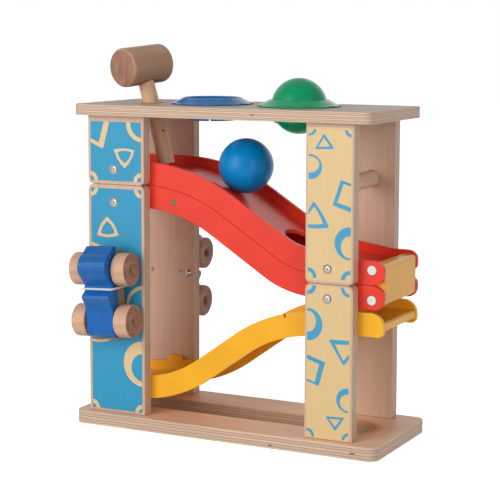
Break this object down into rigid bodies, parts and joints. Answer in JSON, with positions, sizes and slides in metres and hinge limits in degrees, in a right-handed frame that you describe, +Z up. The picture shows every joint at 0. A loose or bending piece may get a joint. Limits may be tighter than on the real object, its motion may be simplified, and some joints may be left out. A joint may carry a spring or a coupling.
{
  "type": "pounding bench",
  "caption": "Wooden pounding bench tower: ball rings and a mallet above stacked plastic ramps, hinged so that the top half folds over into a long car ramp, with cars on elastic cords.",
  "frame": {"origin": "centre of the base board's underside, on the surface it stands on", "axes": "+Z up, +X towards the hinge end (the picture's right), -Y towards the printed front"},
  "size_m": [0.3, 0.1798, 0.3486],
  "materials": {
    "birch": "pale laminated plywood, satin",
    "printed_blue": "plywood, the outer face printed blue with natural line shapes",
    "printed_natural": "plywood, the outer face printed with blue line shapes",
    "red_plastic": "moulded, satin gloss",
    "yellow_plastic": "moulded, satin gloss",
    "blue_plastic": "moulded, glossy",
    "green_plastic": "moulded, glossy",
    "blue_paint": "turned or sawn wood, glossy paint",
    "green_paint": "turned or sawn wood, glossy paint",
    "beech": "turned beech, satin",
    "steel": "zinc plated",
    "elastic": "white round elastic cord"
  },
  "bodies": {
    "lower_frame": {"base_board": "birch", "front_left_lower_panel": "printed_blue", "front_right_lower_panel": "printed_natural", "rear_left_lower_panel": "printed_blue", "rear_right_lower_panel": "printed_natural", "lower_ramp": "red_plastic", "return_ramp": "yellow_plastic", "lower_hinge_pin": "steel", "side_rivet": "steel", "blue_elastic": "elastic", "green_elastic": "elastic", "blue_anchor_a": "steel", "blue_anchor_b": "steel", "green_anchor_a": "steel", "green_anchor_b": "steel", "lower_left_front_screw": "steel", "lower_left_rear_screw": "steel", "lower_right_front_screw": "steel", "lower_right_rear_screw": "steel", "base_left_front_screw": "steel", "base_left_rear_screw": "steel", "base_right_front_screw": "steel", "base_right_rear_screw": "steel"},
    "link": {"hinge_link": "yellow_plastic"},
    "upper_frame": {"top_board": "birch", "front_left_upper_panel": "printed_blue", "front_right_upper_panel": "printed_natural", "rear_left_upper_panel": "printed_blue", "rear_right_upper_panel": "printed_natural", "upper_ramp": "red_plastic", "upper_hinge_pin": "steel", "cross_dowel": "birch", "blue_ring": "blue_plastic", "green_ring": "green_plastic", "upper_left_front_screw": "steel", "upper_left_rear_screw": "steel", "upper_right_front_screw": "steel", "upper_right_rear_screw": "steel"},
    "mallet": {"mallet_head": "beech", "mallet_handle": "birch"},
    "rolling_ball": {"blue_ball": "blue_paint"},
    "held_ball": {"green_ball": "green_paint"},
    "blue_car": {"blue_car_body": "blue_paint", "blue_car_chassis": "birch"},
    "blue_top_wheels": {"blue_top_axle": "birch", "blue_top_left_wheel": "beech", "blue_top_right_wheel": "beech"},
    "blue_bottom_wheels": {"blue_bottom_axle": "birch", "blue_bottom_left_wheel": "beech", "blue_bottom_right_wheel": "beech"},
    "green_car": {"green_car_body": "green_paint", "green_car_chassis": "birch"},
    "green_top_wheels": {"green_top_axle": "birch", "green_top_left_wheel": "beech", "green_top_right_wheel": "beech"},
    "green_bottom_wheels": {"green_bottom_axle": "birch", "green_bottom_left_wheel": "beech", "green_bottom_right_wheel": "beech"}
  },
  "joints": [
    {"name": "link_fold", "type": "hinge", "parent": "lower_frame", "child": "link", "pos_m": [0.137, 0, 0.1346], "axis": [0, 1, 0], "range_deg": [0, 90]},
    {"name": "upper_fold", "type": "hinge", "parent": "link", "child": "upper_frame", "pos_m": [0.137, 0, 0.1604], "axis": [0, 1, 0], "range_deg": [0, 90]},
    {"name": "mallet_lift", "type": "slide", "parent": "upper_frame", "child": "mallet", "axis": [-0.2812, 0, 0.9597], "range_m": [0, 0.11]},
    {"name": "ball_roll", "type": "slide", "parent": "upper_frame", "child": "rolling_ball", "axis": [0.8934, 0, -0.4492], "range_m": [-0.03, 0.02]},
    {"name": "ball_pound", "type": "slide", "parent": "upper_frame", "child": "held_ball", "axis": [0, 0, -1], "range_m": [0, 0.028], "deforming": ["green_ring"]},
    {"name": "blue_car_pull", "type": "slide", "parent": "lower_frame", "child": "blue_car", "axis": [0, -1, 0], "range_m": [0, 0.02], "stiffness_N_per_m": 80, "deforming": ["blue_elastic"]},
    {"name": "blue_top_spin", "type": "hinge", "parent": "blue_car", "child": "blue_top_wheels", "pos_m": [-0.1121, -0.0673, 0.14737], "axis": [0.9988, 0, 0.0489], "continuous": true},
    {"name": "blue_bottom_spin", "type": "hinge", "parent": "blue_car", "child": "blue_bottom_wheels", "pos_m": [-0.1098, -0.0673, 0.10043], "axis": [0.9988, 0, 0.0489], "continuous": true},
    {"name": "green_car_pull", "type": "slide", "parent": "lower_frame", "child": "green_car", "axis": [0, 1, 0], "range_m": [0, 0.02], "stiffness_N_per_m": 80, "deforming": ["green_elastic"]},
    {"name": "green_top_spin", "type": "hinge", "parent": "green_car", "child": "green_top_wheels", "pos_m": [-0.10938, 0.0673, 0.14739], "axis": [0.9997, 0, -0.0244], "continuous": true},
    {"name": "green_bottom_spin", "type": "hinge", "parent": "green_car", "child": "green_bottom_wheels", "pos_m": [-0.11052, 0.0673, 0.10041], "axis": [0.9997, 0, -0.0244], "continuous": true}
  ],
  "couplings": [
    {"joint": "link_fold", "follows": "upper_fold", "ratio": 1}
  ]
}
